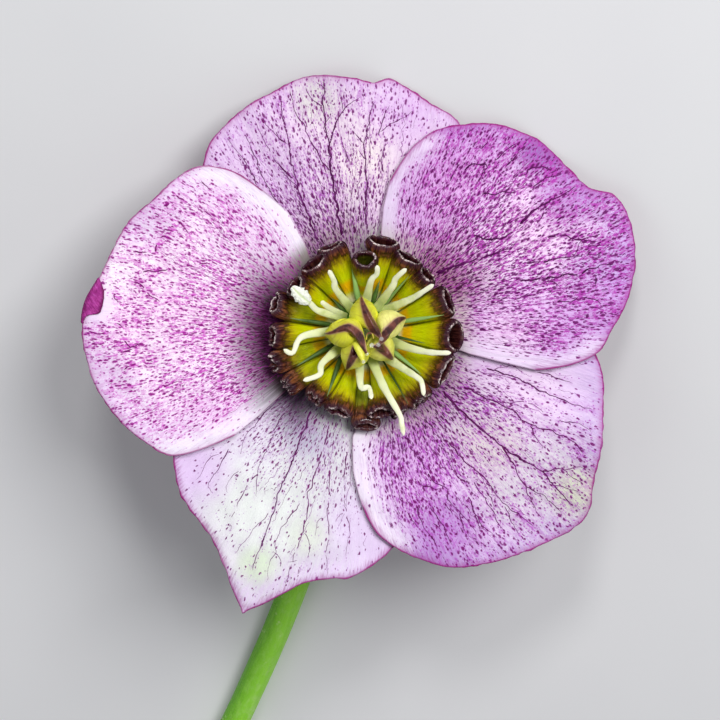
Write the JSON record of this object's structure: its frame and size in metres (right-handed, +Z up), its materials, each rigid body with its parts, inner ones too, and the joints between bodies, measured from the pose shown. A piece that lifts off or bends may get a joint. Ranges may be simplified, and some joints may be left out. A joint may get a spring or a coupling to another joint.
{
  "type": "hellebore flower",
  "caption": "Cut hellebore bloom lying on its back: speckled pink sepals round a ring of tubular nectaries, cream filaments and swollen carpels, on a bent green stem.",
  "frame": {"origin": "on the surface that the flower lies on, under the middle of the whole", "axes": "+Z up from the surface, +Y from the cut end of the stem towards the bloom, +X to the right; the bloom's axis leans 27 degrees from +Z towards +Y"},
  "size_m": [0.067, 0.1254, 0.0312],
  "materials": {
    "stem": "satin",
    "sepal": "satin",
    "nectary": "satin",
    "stamen": "satin",
    "carpel": "satin"
  },
  "bodies": {
    "root": {"stem": "stem", "sepal_left": "sepal", "sepal_top": "sepal", "sepal_upper_right": "sepal", "sepal_lower_right": "sepal", "sepal_lower_left": "sepal", "nectaries": "nectary", "stamens": "stamen", "carpels": "carpel"}
  },
  "joints": []
}
